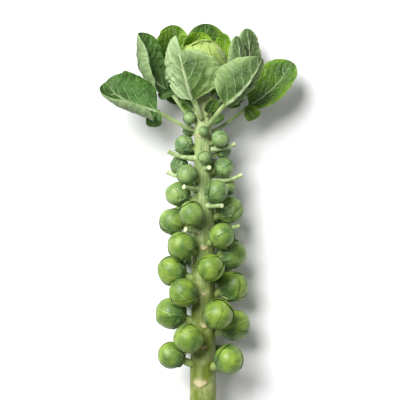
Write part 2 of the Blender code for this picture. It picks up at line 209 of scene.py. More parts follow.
# Freshly sawn stem: wet cream-green pith, a paler ring of wood with fine rays, and a thin green rind.
sawn_wood, tree, shader = new_material("sawn_stem_wood")
place = add(tree, "TexCoord").outputs["Object"]
centred = add(tree, "VectorMath:SUBTRACT", place, FOOT)
level = add(tree, "VectorMath:MULTIPLY", centred, (1.0, 0.0, 1.0))
from_axis = add(tree, "VectorMath:LENGTH", level)
speckle = add(tree, "TexNoise", {"Vector": place, "Scale": 700.0, "Detail": 3.0})
uneven = add(tree, "Math:MULTIPLY_ADD", speckle, 1.2 * MM, from_axis)
share = add(tree, "Math:DIVIDE", uneven, 17.0 * MM)
rings = add(tree, "ValToRGB", share)
for element in list(rings.color_ramp.elements)[1:]:
    rings.color_ramp.elements.remove(element)
rings.color_ramp.elements[0].color = linear("#cfd39b")
outer_rings = ((0.50, "#d9dcab"), (0.58, "#eceacb"), (0.80, "#e3e2b8"), (0.86, "#a3b466"), (0.97, "#708a3c"))
for at, shade in outer_rings:
    rings.color_ramp.elements.new(at).color = linear(shade)
compass = add(tree, "VectorMath:NORMALIZE", level)
rays = add(tree, "TexNoise", {"Vector": compass, "Scale": 22.0, "Detail": 2.0})
rays = add(tree, "MapRange", rays, 0.45, 0.65, 0.0, 0.3)
rayed = add(tree, "Mix:RGBA", rays, {6: rings, 7: linear("#b9bf83")})
saw_marks = add(tree, "Bump", {"Height": speckle, "Strength": 0.4, "Distance": 0.0003})
fill(tree, shader, {"Base Color": rayed, "Normal": saw_marks, "Roughness": 0.38})

sizes = {
    "Length": STEM_LENGTH * MM,
    "Widest": STEM_RADII[0][1] * MM,
    "Ridge height": 1.0 * MM,
    "Scar length": 0.46,
    "Scar height": 0.9 * MM,
}
tree, given, result = new_tree("ridged_column", sizes)
column = add(
    tree, "MeshCylinder",
    {
        "Vertices": STEM_AROUND, "Side Segments": STEM_ALONG, "Fill Segments": 6, "Radius": 1.0,
        "Depth": 1.0,
    },
    fill_type="TRIANGLE_FAN",
)
where = add(tree, "SeparateXYZ", add(tree, "InputPosition"))
share = add(tree, "Math:ADD", where.outputs[2], 0.5)
narrowing = add(tree, "FloatCurve", {1: share})
points = narrowing.mapping.curves[0].points
for number, (station, radius) in enumerate(STEM_RADII):
    at = (station / STEM_LENGTH, radius / STEM_RADII[0][1])
    if number in (0, len(STEM_RADII) - 1):
        points[0 if number == 0 else -1].location = at
    else:
        points.new(*at)
narrowing.mapping.update()
radius = add(tree, "Math:MULTIPLY", narrowing, given["Widest"])
station = add(tree, "Math:MULTIPLY", share, given["Length"])
around = add(tree, "CombineXYZ", where.outputs[0], station, where.outputs[1])
ridge_space = add(tree, "VectorMath:MULTIPLY", around, (1.0, 9.0, 1.0))
ridges = add(tree, "TexNoise", {"Vector": ridge_space, "Scale": 3.2, "Detail": 3.0, "Roughness": 0.55})
ridge = add(tree, "MapRange", ridges, 0.3, 0.7, -0.5, 0.5)
rise = add(tree, "Math:MULTIPLY_ADD", ridge, given["Ridge height"], radius)
across = add(tree, "VectorMath:MULTIPLY", around, (1.0, 0.0, 1.0))
ring = add(tree, "VectorMath:SCALE", across, {"Scale": rise})
along = add(tree, "CombineXYZ", {1: station})
plain = add(tree, "VectorMath:ADD", ring, along)
nearest = add(tree, "SampleNearest", {"Geometry": given["Geometry"], "Sample Position": plain})
mark_place = add(
    tree, "SampleIndex:FLOAT_VECTOR",
    {"Geometry": given["Geometry"], "Value": add(tree, "InputPosition"), "Index": nearest},
)
mark_size = add(
    tree, "SampleIndex",
    {
        "Geometry": given["Geometry"], "Index": nearest,
        "Value": add(tree, "InputNamedAttribute:FLOAT", {"Name": "half_width"}),
    },
)
ragged = add(tree, "TexNoise", {"Vector": plain, "Scale": 350.0, "Detail": 2.0})
ragged = add(tree, "MapRange", ragged, {3: -0.45, 4: 0.45})
apart = add(tree, "VectorMath:SUBTRACT", plain, mark_place)
apart = add(tree, "VectorMath:SCALE", apart, {"Scale": add(tree, "Math:DIVIDE", 1.0, mark_size)})
apart = add(tree, "SeparateXYZ", apart)
height = add(tree, "Math:DIVIDE", apart.outputs[1], given["Scar length"])
wedge = add(tree, "MapRange", height, -1.0, 1.0, 0.35, 1.15)
level = add(tree, "CombineXYZ", apart.outputs[0], apart.outputs[2])
level = add(tree, "VectorMath:LENGTH", level)
level = add(tree, "Math:DIVIDE", level, wedge)
relative = add(tree, "CombineXYZ", level, height)
relative = add(tree, "VectorMath:LENGTH", relative)
relative = add(tree, "Math:ADD", relative, ragged)
pad = add(tree, "MapRange", relative, 1.45, 0.95, 0.0, 1.0, interpolation_type="SMOOTHSTEP")
dish = add(tree, "MapRange", relative, 1.0, 0.75, 0.0, 1.0, interpolation_type="SMOOTHSTEP")
lifted = add(tree, "Math:MULTIPLY_ADD", dish, -0.45, pad)
scar_rise = add(tree, "Math:MULTIPLY_ADD", lifted, given["Scar height"], rise)
scarred = add(tree, "VectorMath:SCALE", across, {"Scale": scar_rise})
final = add(tree, "VectorMath:ADD", scarred, along)
rim_only = add(tree, "Math:SUBTRACT", pad, dish)
keep = add(tree, "StoreNamedAttribute:FLOAT", {"Geometry": column, "Name": "scar", "Value": dish})
keep = add(tree, "StoreNamedAttribute:FLOAT", {"Geometry": keep, "Name": "rim", "Value": rim_only})
placed = add(tree, "SetPosition", {"Geometry": keep, "Position": final})
smooth = add(tree, "SetShadeSmooth", {"Geometry": placed, "Selection": column.outputs["Side"]})
barked = add(tree, "SetMaterial", {"Geometry": smooth, "Material": stem_skin})
sawn = add(
    tree, "SetMaterial",
    {"Geometry": barked, "Selection": column.outputs["Bottom"], "Material": sawn_wood},
)
tree.links.new(add(tree, "RealizeInstances", sawn).outputs[0], result[0])
stem_tree = tree


def ball_of(node):
    """The centre and radius, in the stalk's own millimetres, of the ball that fits a CAD sprout."""
    points = (np.array([v.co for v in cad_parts[node].data.vertices]) - np.array(FOOT)) / MM
    reach = np.hypot(points[:, 0], points[:, 2])
    ball = points[reach > reach.min() + 0.35 * (reach.max() - reach.min())]
    sums = np.linalg.lstsq(np.c_[2 * ball, np.ones(len(ball))], (ball**2).sum(1), rcond=None)[0]
    return Vector(sums[:3]), math.sqrt(sums[3] + sums[:3] @ sums[:3])


sprouts = {node: ball_of(node) for node in sorted(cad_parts) if node.startswith("sprout_")}
scars = [
    (outward(bearing) * stem_radius(at) + Vector((0, at, 0)), size)
    for at, bearing, size in BARE_SCARS
]
for centre, radius in sprouts.values():
    away = Vector((centre.x, 0, centre.z)).normalized()
    at = centre.y - radius * SCAR_BELOW
    scars.append((away * stem_radius(at) + Vector((0, at, 0)), HIDDEN_SCAR))
scar_mesh = bpy.data.meshes.new("leaf_scars")
scar_mesh.from_pydata([point * MM for point, size in scars], [], [])
scar_mesh.attributes.new("half_width", "FLOAT", "POINT").data.foreach_set(
    "value", [size * MM for point, size in scars],
)
stem = grow("stem_column", scar_mesh, stem_tree, {})
stem.data.transform(Matrix.Translation(FOOT))
face_outwards(stem)

# ---------------------------------------------------------------------------------------------------------
# The cut leaf stalks. The lower leaves of the stalk were trimmed with a knife, which left short curved
# stumps, swollen where they leave the stem and with a paler, wet cut face.
# ---------------------------------------------------------------------------------------------------------
# Station of the foot, bearing, reach from the stem's axis, and rise of the end
STUMPS = (
    (231.5, -35, 38, 2.0), (233, 96, 46, 5.0), (255, 152, 38, 2.0), (262.5, 32, 44, 0.5),
    (277.5, -150, 36, 2.0), (284, -40, 37, 2.5), (293, 88, 49, 8.5), (297, -95, 45, 8.0),
    (309.5, 18, 25, 1.0), (322, -76, 45, 9.0), (330, 160, 30, 2.0), (333.5, 84, 41, 6.5),
)
STUMP_RADIUS, STUMP_SIDES, STUMP_STEPS = 2.7, 20, 24
SWOLLEN_FOOT, KNIFE_LIP = 0.7, 0.10

# Knife-cut leaf stalk: wet, pale green flesh with a speckle of darker veins.
cut_flesh, tree, shader = new_material("cut_stalk_flesh")
place = add(tree, "TexCoord").outputs["Object"]
speckle = add(tree, "TexVoronoi", {"Vector": place, "Scale": 1100.0})
flesh = add(tree, "Mix:RGBA", speckle, {6: linear("#c4cc92"), 7: linear("#e4e6c2")})
fill(tree, shader, {"Base Color": flesh, "Roughness": 0.35})

# Fresh leaf stalk: smooth, pale blue-green and faintly ribbed, with a soft waxy bloom.
stalk_skin, tree, shader = new_material("leaf_stalk_skin")
place = add(tree, "TexCoord")
mottle = add(tree, "TexNoise", {"Vector": place.outputs["Object"], "Scale": 160.0, "Detail": 4.0})
pale_green = add(tree, "ValToRGB", mottle)
pale_green.color_ramp.elements[0].position, pale_green.color_ramp.elements[1].position = 0.35, 0.7
pale_green.color_ramp.elements[0].color = linear("#8fa868")
pale_green.color_ramp.elements[1].color = linear("#c3d3a0")
fine = add(tree, "Bump", {"Height": mottle, "Strength": 0.2, "Distance": 0.0005})
fill(tree, shader, {"Base Color": pale_green, "Normal": fine, "Roughness": 0.48, "IOR": 1.45})

tree, given, result = new_tree("round_strands", {"Sides": 12, "Thickness": 1.0, "Skin": stalk_skin})
outline = add(tree, "CurvePrimitiveCircle", {"Resolution": given["Sides"], "Radius": 1.0})
thickness = add(tree, "Math:MULTIPLY", add(tree, "InputRadius"), given["Thickness"])
swept = add(
    tree, "CurveToMesh",
    {"Curve": given["Geometry"], "Profile Curve": outline, "Scale": thickness, "Fill Caps": True},
)
end_tree(tree, swept, given["Skin"], result)
strand_tree = tree


def strands(name, lines, skin, sides):
    """Round tapering strands, each a list of (point, radius) in the stalk's own millimetres."""
    curve = bpy.data.curves.new(name, "CURVE")
    curve.dimensions = "3D"
    for line in lines:
        spline = curve.splines.new("POLY")
        spline.points.add(len(line) - 1)
        for knot, (point, radius) in zip(spline.points, line):
            knot.co = (*in_place(point), 1.0)
            knot.radius = radius * MM
    grown = grow(name, curve, strand_tree, {"Sides": sides, "Skin": skin})
    face_outwards(grown)
    return grown


stumps, stump_ends = [], []
for station, bearing, reach, rise in STUMPS:
    away = outward(bearing)
    start = 0.6 * stem_radius(station)
    line = []
    for share in np.linspace(0, 1, STUMP_STEPS):
        swelling = 1 + SWOLLEN_FOOT * (1 - share) ** 3 + KNIFE_LIP * math.exp(-(((1 - share) / 0.06) ** 2))
        point = away * (start + (reach - start) * share) + Vector((0, station + rise * share**2.5, 0))
        line.append((point, STUMP_RADIUS * swelling))
    stumps.append(line)
    direction = (line[-1][0] - line[-2][0]).normalized()
    stump_ends.append([(line[-1][0] + direction * d, r) for d, r in ((-0.4, 2.3), (0.12, 2.3))])
stem = joined(
    "stem_with_cut_stalks",
    [stem, strands("cut_stalks", stumps, stalk_skin, STUMP_SIDES),
     strands("cut_stalk_faces", stump_ends, cut_flesh, STUMP_SIDES)],
)
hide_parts("stem")
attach(stem, "root")

# ---------------------------------------------------------------------------------------------------------
# The sprouts. Each is a bud of broad leaves wrapped tightly over one another on a short thick neck. The
# outer leaves are the shortest and stand a little off the ball. The inner ones close over its top.
# ---------------------------------------------------------------------------------------------------------
LEAN = 22.0
NECK_SHARE = 0.24
BUD_COLUMNS, BUD_ROWS = 29, 27
# The share of a sprout's radius that its bud takes, so that its leaf edges keep near the CAD ball
BUD_SHARE = 0.985
# The station from which the buds turn bluer and more wrinkled, and the length over which they do
BLUER_FROM, BLUER_OVER = 200, 130
TURN_BETWEEN_BUDS = 1.9

def veins_of(tree, u, v, laterals, slant, width=1.0, wander=1.6):
    """The midrib and the side veins, 0 to 1, at a place on a leaf that is u across it and v up it."""
    off_rib = add(tree, "Math:MULTIPLY_ADD", u, 2.0, -1.0)
    off_rib = add(tree, "Math:ABSOLUTE", off_rib)
    spot = add(tree, "CombineXYZ", u, v)
    unsteady = add(tree, "TexNoise", {"Vector": spot, "Scale": 4.5, "Detail": 2.0})
    other_half = add(tree, "Math:GREATER_THAN", u, 0.5)
    start = add(tree, "Math:MULTIPLY", other_half, 0.45)
    start = add(tree, "Math:MULTIPLY_ADD", unsteady, wander, start)
    arched = add(tree, "Math:POWER", off_rib, 1.25)
    climb = add(tree, "Math:MULTIPLY_ADD", arched, -slant, start)
    phase = add(tree, "Math:MULTIPLY_ADD", v, laterals, climb)
    from_vein = add(tree, "Math:PINGPONG", phase, 0.5)
    wide = add(tree, "MapRange", off_rib, {3: 0.16 * width, 4: 0.03 * width})
    side = add(tree, "MapRange", from_vein, {2: wide, 3: 0.75, 4: 0.0}, interpolation_type="SMOOTHSTEP")
    wide = add(tree, "MapRange", v, {3: 0.1, 4: 0.012})
    rib = add(tree, "MapRange", off_rib, {2: wide, 3: 1.0, 4: 0.0}, interpolation_type="SMOOTHSTEP")
    return rib.outputs[0], side.outputs[0]


# Brussels sprout leaf: firm, waxed, yellow-green, with fine pale veins that fan out from a white foot.
sprout_leaf, tree, shader = new_material("waxed_sprout_leaf")
place = add(tree, "TexCoord").outputs["Object"]
leaf_map = add(tree, "UVMap", uv_map="leaf")
split = add(tree, "SeparateXYZ", leaf_map)
rib, side_vein = veins_of(tree, split.outputs[0], split.outputs[1], 9.0, 3.0)
outer = add(tree, "Attribute", attribute_name="outer").outputs["Fac"]
low_down = add(tree, "MapRange", split.outputs[1], 0.3, 0.62, 0.85, 0.0)
low_down = add(tree, "Math:MULTIPLY", low_down, outer)
height = add(tree, "Attribute", attribute_name="height_on_stem")
faint = add(tree, "MapRange", height.outputs["Fac"], {3: 0.18, 4: 0.42})
showing = add(tree, "Math:MULTIPLY_ADD", low_down, 0.45, faint)
side_vein = add(tree, "Math:MULTIPLY", side_vein, showing)
rib = add(tree, "Math:MULTIPLY", rib, 0.42)
vein = add(tree, "Math:MAXIMUM", side_vein, rib)
cells = add(tree, "TexVoronoi", {"Vector": place, "Scale": 420.0}, feature="DISTANCE_TO_EDGE")
net = add(tree, "MapRange", cells, 0.0, 0.12, 0.06, 0.0)
vein = add(tree, "Math:MAXIMUM", vein, net)
mottle = add(tree, "TexNoise", {"Vector": place, "Scale": 62.0, "Detail": 3.0})
mottle = add(tree, "MapRange", mottle, 0.34, 0.68)
low_green = add(tree, "Mix:RGBA", mottle, {6: linear("#476a26"), 7: linear("#85a036")})
high_green = add(tree, "Mix:RGBA", mottle, {6: linear("#4c6f40"), 7: linear("#8ba768")})
blade = add(tree, "Mix:RGBA", height.outputs["Fac"], {6: low_green, 7: high_green})
weathered = add(tree, "Mix:RGBA", mottle, {6: linear("#3b5a34"), 7: linear("#5f8152")})
blade = add(tree, "Mix:RGBA", low_down, {6: blade, 7: weathered})
veined_blade = add(tree, "Mix:RGBA", vein, {6: blade, 7: linear("#b3c87c")})
pale_foot = add(tree, "MapRange", split.outputs[1], 0.04, 0.2, 0.7, 0.0, interpolation_type="SMOOTHSTEP")
sprout_colour = add(tree, "Mix:RGBA", pale_foot, {6: veined_blade, 7: linear("#a2b566")})
raised = add(tree, "Bump", {"Height": vein, "Strength": 0.35, "Distance": 0.0005})
fill(
    tree, shader,
    {
        "Base Color": sprout_colour, "Normal": raised, "Roughness": 0.42, "IOR": 1.45,
        "Specular IOR Level": 0.5,
    },
)

sizes = {
    "Radius": 0.018, "Neck": 0.02,
    "Leaves": 7, "Seed": 1, "Layer": 0.02,
    "Standing off": 0.05, "Pleats": 0.01,
    "Creases": 4.5, "Crinkle": 0.17,
    "Blade": 0.0004, "Columns": BUD_COLUMNS,
    "Rows": BUD_ROWS, "Height on stem": 0.0,
    "First tip": 2.2, "Last tip": 4.8,
    "Skin": sprout_leaf,
}
tree, given, result = new_tree("wrapped_bud", sizes)
leaves = add(tree, "Points", {"Count": given["Leaves"]})
numbered = add(
    tree, "StoreNamedAttribute:FLOAT",
    {"Geometry": leaves, "Name": "layer", "Value": add(tree, "InputIndex")},
)
sheet = add(
    tree, "MeshGrid",
    {"Size X": 2.0, "Size Y": 1.0, "Vertices X": given["Columns"], "Vertices Y": given["Rows"]},
)
mapped = add(
    tree, "StoreNamedAttribute:FLOAT2",
    {"Geometry": sheet, "Name": "leaf", "Value": sheet.outputs["UV Map"]}, domain="CORNER",
)
copies = add(tree, "InstanceOnPoints", {"Points": numbered, "Instance": mapped})
blades = add(tree, "RealizeInstances", copies)
layer = add(tree, "InputNamedAttribute:FLOAT", {"Name": "layer"})
last = add(tree, "Math:SUBTRACT", given["Leaves"], 1.0)
depth = add(tree, "Math:DIVIDE", layer, last)
flat = add(tree, "SeparateXYZ", add(tree, "InputPosition"))
off_rib = add(tree, "Math:ABSOLUTE", flat.outputs[0])
up_leaf = add(tree, "Math:ADD", flat.outputs[1], 0.5)
chance = add(tree, "RandomValue", {"Min": -1.0, "Max": 1.0, "ID": layer, "Seed": given["Seed"]})
chance = chance.outputs["Value"]
tip = add(tree, "MapRange", depth, {3: given["First tip"], 4: given["Last tip"]})
tip = add(tree, "Math:MULTIPLY_ADD", chance, 0.16, tip)
tip = add(tree, "Math:MINIMUM", tip, 3.65)
bend = add(tree, "MapRange", up_leaf, {3: 0.1, 4: tip})
eased = add(tree, "Math:POWER", up_leaf, 0.8)
arch = add(tree, "Math:SINE", add(tree, "Math:MULTIPLY", eased, math.pi))
bounded = add(tree, "Math:MAXIMUM", arch, 0.0004)
oval = add(tree, "Math:POWER", bounded, 0.55)
widest = add(tree, "MapRange", depth, {3: 1.16, 4: 1.4})
spread = add(tree, "Math:MULTIPLY", oval, widest)
swing = add(tree, "Math:MULTIPLY", spread, flat.outputs[0])
margin = add(tree, "Math:MAXIMUM", off_rib, up_leaf)
edge = add(tree, "MapRange", margin, 0.7, 1.0, 0.0, 1.0, interpolation_type="SMOOTHSTEP")
outer = add(tree, "Math:LESS_THAN", layer, 0.5)
off_ball = add(tree, "MapRange", outer, {3: 0.013, 4: given["Standing off"]})
lift = add(tree, "Math:MULTIPLY", edge, off_ball)
sunk = add(tree, "Math:MULTIPLY", layer, given["Layer"])
shell = add(tree, "Math:SUBTRACT", lift, sunk)
pleat_space = add(
    tree, "CombineXYZ", add(tree, "Math:MULTIPLY", flat.outputs[0], given["Creases"]),
    add(tree, "Math:MULTIPLY", up_leaf, 1.3), add(tree, "Math:MULTIPLY_ADD", layer, 7.3, given["Seed"]),
)
pleating = add(tree, "TexNoise", {"Vector": pleat_space, "Scale": 1.0, "Detail": 2.0})
pleat = add(tree, "MapRange", pleating, 0.25, 0.75, -0.5, 0.5)
shell = add(tree, "Math:MULTIPLY_ADD", pleat, given["Pleats"], shell)
is_outer = add(tree, "Math:LESS_THAN", layer, 1.5)
smooth_from = add(tree, "Math:MULTIPLY_ADD", given["Height on stem"], 0.75, 0.65)
near_foot = add(tree, "MapRange", up_leaf, smooth_from, 0.25, 0.0, given["Crinkle"])
crinkle_space = add(tree, "VectorMath:MULTIPLY", pleat_space, (1.1, 3.5, 1.0))
crinkle = add(tree, "TexNoise", {"Vector": crinkle_space, "Scale": 1.0, "Detail": 3.0, "Roughness": 0.6})
crinkle = add(tree, "MapRange", crinkle, 0.3, 0.7, -0.5, 0.5)
crinkle = add(tree, "Math:MULTIPLY", crinkle, near_foot)
shell = add(tree, "Math:MULTIPLY_ADD", crinkle, is_outer, shell)
shell = add(tree, "Math:MULTIPLY_ADD", shell, given["Radius"], given["Radius"])
down = add(tree, "Math:MULTIPLY", shell, -1.0)
wrap = add(tree, "CombineXYZ", {2: down})
wrap = add(tree, "VectorRotate", {"Vector": wrap, "Angle": swing}, rotation_type="X_AXIS")
wrap = add(tree, "VectorRotate", {"Vector": wrap, "Angle": bend}, rotation_type="Y_AXIS")
turn = add(tree, "Math:MULTIPLY_ADD", layer, 2.4, given["Seed"])
turn = add(tree, "Math:MULTIPLY_ADD", chance, 0.35, turn)
wrap = add(tree, "VectorRotate", {"Vector": wrap, "Angle": turn}, rotation_type="Z_AXIS")
seed_shift = add(tree, "CombineXYZ", given["Seed"])
lump_space = add(tree, "VectorMath:MULTIPLY_ADD", wrap, (45.0, 45.0, 45.0), seed_shift)
lumps = add(tree, "TexNoise", {"Vector": lump_space, "Scale": 1.0, "Detail": 1.0})
lump = add(tree, "MapRange", lumps, {3: 0.965, 4: 1.035})
wrap = add(tree, "VectorMath:SCALE", wrap, {"Scale": lump})
wrapped = add(tree, "SetPosition", {"Geometry": blades, "Position": wrap})
thick = add(
    tree, "ExtrudeMesh", {"Mesh": wrapped, "Offset Scale": given["Blade"], "Individual": False},
    mode="FACES",
)
back = add(tree, "FlipFaces", wrapped)
core_size = add(tree, "Math:MULTIPLY", given["Leaves"], given["Layer"])
core_size = add(tree, "Math:SUBTRACT", 0.985, core_size)
core_size = add(tree, "Math:MULTIPLY", core_size, given["Radius"])
core = add(tree, "MeshUVSphere", {"Segments": 24, "Rings": 16, "Radius": core_size})
neck_width = add(tree, "Math:MULTIPLY", given["Radius"], NECK_SHARE)
neck_foot = add(tree, "Math:MULTIPLY", given["Neck"], -1.0)
neck_flare = add(tree, "Math:MULTIPLY", neck_width, 1.25)
neck = add(
    tree, "MeshCone",
    {
        "Vertices": 20, "Side Segments": 6, "Radius Top": neck_width, "Radius Bottom": neck_flare,
        "Depth": given["Neck"],
    },
)
neck = add(tree, "Transform", {"Geometry": neck, "Translation": add(tree, "CombineXYZ", {2: neck_foot})})
bud = add(tree, "JoinGeometry")
for part in (neck, core, back, thick):
    tree.links.new(part.outputs[0], bud.inputs[0])
closed = add(tree, "MergeByDistance", {"Geometry": bud, "Distance": 0.000005})
placed = add(
    tree, "StoreNamedAttribute:FLOAT",
    {"Geometry": closed, "Name": "height_on_stem", "Value": given["Height on stem"]},
)
placed = add(tree, "StoreNamedAttribute:FLOAT", {"Geometry": placed, "Name": "outer", "Value": is_outer})
end_tree(tree, placed, given["Skin"], result)
bud_tree = tree

empty = bpy.data.meshes.new("seed_of_a_bud")
for number, (node, (centre, radius)) in enumerate(sprouts.items(), 1):
    away = Vector((centre.x, 0, centre.z)).normalized()
    lean = math.radians(LEAN)
    axis = away * math.cos(lean) + Vector((0, math.sin(lean), 0))
    reach = math.hypot(centre.x, centre.z)
    neck_length = (reach - 0.8 * stem_radius(centre.y)) / math.cos(lean)
    height_share = min(1.0, max(0.0, (centre.y - BLUER_FROM) / BLUER_OVER))
    sprout = grow(
        "wrapped_" + node, empty, bud_tree,
        {
            "Radius": radius * BUD_SHARE * MM, "Neck": neck_length * MM, "Seed": number * 3,
            "Height on stem": height_share, "Standing off": 0.035 + 0.03 * (number * 7 % 5) / 4,
            "First tip": 2.0 + 0.55 * (number * 3 % 4) / 3, "Crinkle": 0.2 + 0.14 * height_share,
        },
    )
    spin = Matrix.Rotation(number * TURN_BETWEEN_BUDS, 4, "Z")
    sprout.data.transform(
        Matrix.Translation(in_place(centre)) @ axis.to_track_quat("Z", "Y").to_matrix().to_4x4() @ spin
    )
    for vertex in sprout.data.vertices:
        vertex.co.z = max(vertex.co.z, 0.0)
    face_outwards(sprout)
    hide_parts(node)
    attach(sprout, "root")

# ---------------------------------------------------------------------------------------------------------
# The head. It is the growing heart of the stalk: a ball of young cabbage leaves, paler than the sprouts,
# that wrap over one another in crumpled layers and were never opened by the light.
# ---------------------------------------------------------------------------------------------------------
HEAD_MIDDLE, HEAD_RADIUS, HEAD_TILT = Vector((0, 439.5, 0)), 33.0, 24.0

# Heart leaf: thin, satiny and blanched yellow-green, with close branching veins that crease it.
heart_leaf, tree, shader = new_material("satin_heart_leaf")
place = add(tree, "TexCoord").outputs["Object"]
leaf_map = add(tree, "UVMap", uv_map="leaf")
split = add(tree, "SeparateXYZ", leaf_map)
rib, side_vein = veins_of(tree, split.outputs[0], split.outputs[1], 13.0, 3.6)
net = add(tree, "TexVoronoi", {"Vector": place, "Scale": 260.0}, feature="DISTANCE_TO_EDGE")
net = add(tree, "MapRange", net, 0.0, 0.1, 0.35, 0.0)
vein = add(tree, "Math:MAXIMUM", side_vein, rib)
vein = add(tree, "Math:MAXIMUM", vein, net)
mottle = add(tree, "TexNoise", {"Vector": place, "Scale": 70.0, "Detail": 4.0})
blade = add(tree, "Mix:RGBA", mottle, {6: linear("#6f8e33"), 7: linear("#b9cf6c")})
veined = add(tree, "Mix:RGBA", vein, {6: blade, 7: linear("#cfdf94")})
# Painted shade: each heart leaf turns dark green towards its foot, low on the head, where shade falls.
painted_shade_to_foot = add(tree, "MapRange", split.outputs[1], 0.35, 0.95, 0.75, 0.0)
colour = add(tree, "Mix:RGBA", painted_shade_to_foot, {6: veined, 7: linear("#5f8236")})
creased = add(tree, "Bump", {"Height": vein, "Strength": 0.6, "Distance": 0.001})
fill(tree, shader, {"Base Color": colour, "Normal": creased, "Roughness": 0.42, "IOR": 1.45})

heart = grow(
    "crown_heart", empty, bud_tree,
    {
        "Radius": HEAD_RADIUS * 0.965 * MM, "Neck": 30 * MM, "Leaves": 8, "Seed": 5, "Layer": 0.022,
        "Pleats": 0.085, "Creases": 9.0, "Standing off": 0.03, "First tip": 2.35, "Last tip": 3.3,
        "Crinkle": 0.0, "Blade": 0.5 * MM, "Columns": 49, "Rows": 57, "Skin": heart_leaf,
    },
)
tilt = math.radians(HEAD_TILT)
heart_axis = Vector((0, math.cos(tilt), math.sin(tilt)))
heart.data.transform(
    Matrix.Translation(in_place(HEAD_MIDDLE)) @ heart_axis.to_track_quat("Z", "Y").to_matrix().to_4x4()
)
face_outwards(heart)
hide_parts("crown_head")
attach(heart, "root")

# ---------------------------------------------------------------------------------------------------------
# The crown leaves. Each is a thick pale stalk that runs on into the blade as its midrib, and a cupped waxy
# blade that is puckered between its side veins and waved along its edge. Some stalks carry a small lobe.
# ---------------------------------------------------------------------------------------------------------
BLADE_COLUMNS, BLADE_ROWS = 65, 130
FOLD = 8.0
SIDE_VEINS, VEIN_SLANT = 5.0, 3.2

# Open crown leaf: blue-green under a waxy bloom when old, deep green inside the crown and yellow-green when
# young. It is paler and duller beneath, with cream ribs, fine side veins and a faint net between them.
UPPER_DARK, UPPER_LIGHT = ("#26490f", "#1c3d04", "#5a8a14"), ("#507c36", "#3f6a10", "#9abf36")
UNDER_DARK, UNDER_LIGHT = ("#475538", "#2a4413", "#5f8226"), ("#72885e", "#50712e", "#9dba55")
# The pale bloom colour is partly real wax bloom and partly painted light on the lit half of a leaf.
PALE_MARGIN_AND_PAINTED_LIGHT, WAX_BLOOM_AND_PAINTED_LIGHT = "#a6c187", "#b3cc96"
crown_blade, tree, shader = new_material("waxy_crown_leaf")
place = add(tree, "TexCoord").outputs["Object"]
leaf_map = add(tree, "UVMap", uv_map="leaf")
split = add(tree, "SeparateXYZ", leaf_map)
rib, side_vein = veins_of(tree, split.outputs[0], split.outputs[1], SIDE_VEINS, VEIN_SLANT, 0.55, 0.8)
cells = add(tree, "TexVoronoi", {"Vector": place, "Scale": 230.0}, feature="DISTANCE_TO_EDGE")
quilting = add(tree, "MapRange", cells, 0.0, 0.35, 0.0, 0.35, interpolation_type="SMOOTHSTEP")
net = add(tree, "MapRange", cells, 0.0, 0.1, 0.14, 0.0)
vein = add(tree, "Math:MAXIMUM", side_vein, net)
vein = add(tree, "Math:MAXIMUM", vein, rib)
under = add(tree, "Attribute", attribute_name="under").outputs["Fac"]
youth = add(tree, "Attribute", attribute_name="youth").outputs["Fac"]
patches = add(tree, "TexNoise", {"Vector": place, "Scale": 28.0, "Detail": 1.0})
youth = add(tree, "Math:MULTIPLY_ADD", patches, 0.35, youth)
youth = add(tree, "Math:SUBTRACT", youth, 0.175)
out = add(tree, "Math:MULTIPLY_ADD", split.outputs[0], 2.0, -1.0)
out = add(tree, "Math:ABSOLUTE", out)
deeper = add(tree, "MapRange", out, 0.35, 1.0, -0.05, 0.22)
youth = add(tree, "Math:ADD", youth, deeper)
mottle = add(tree, "TexNoise", {"Vector": place, "Scale": 60.0, "Detail": 5.0, "Roughness": 0.6})
mottle = add(tree, "MapRange", mottle, 0.32, 0.68)
faces = []
for shades in ((UPPER_DARK, UPPER_LIGHT), (UNDER_DARK, UNDER_LIGHT)):
    ramps = []
    for old, grown_up, young in shades:
        ramp = add(tree, "ValToRGB", youth)
        ramp.color_ramp.elements[0].color, ramp.color_ramp.elements[1].color = linear(old), linear(young)
        ramp.color_ramp.elements.new(0.5).color = linear(grown_up)
        ramps.append(ramp)
    both = add(tree, "Mix:RGBA", mottle, {6: ramps[0], 7: ramps[1]})
    faces.append(both)
# Partly painted light: the underside turns paler towards both margins. This also stands for the lit edge of
# the wrapper leaf.
paler = add(tree, "MapRange", out, 0.45, 1.0, 0.0, 0.6)
faces[1] = add(tree, "Mix:RGBA", paler, {6: faces[1], 7: linear(PALE_MARGIN_AND_PAINTED_LIGHT)})
blade = add(tree, "Mix:RGBA", under, {6: faces[0], 7: faces[1]})
# Partly painted light: the pale bloom colour laid over the leaf's right half and tip, which is the half
# facing the lamp.
bloom = add(tree, "Attribute", attribute_name="bloom").outputs["Fac"]
blade = add(tree, "Mix:RGBA", bloom, {6: blade, 7: linear(WAX_BLOOM_AND_PAINTED_LIGHT)})
tint = add(tree, "Math:MULTIPLY", vein, 0.56)
veined = add(tree, "Mix:RGBA", tint, {6: blade, 7: linear("#c9d9a8")})
on_stalk = add(tree, "MapRange", split.outputs[1], 0.02, -0.1, interpolation_type="SMOOTHSTEP")
stalk_green = add(tree, "Mix:RGBA", mottle, {6: linear("#7b9456"), 7: linear("#abbd86")})
colour = add(tree, "Mix:RGBA", on_stalk, {6: veined, 7: stalk_green})
proud = add(tree, "MapRange", under, {3: -1.0, 4: 1.0})
bladed = add(tree, "Math:SUBTRACT", 1.0, on_stalk)
quilting = add(tree, "Math:MULTIPLY", quilting, bladed)
proud = add(tree, "Math:MULTIPLY_ADD", vein, proud, quilting)
relief = add(tree, "Bump", {"Height": proud, "Strength": 0.55, "Distance": 0.001})
dullness = add(tree, "MapRange", mottle, {3: 0.4, 4: 0.6})
fill(
    tree, shader,
    {
        "Base Color": colour, "Normal": relief, "Roughness": dullness, "IOR": 1.45,
        "Specular IOR Level": 0.28,
    },
)

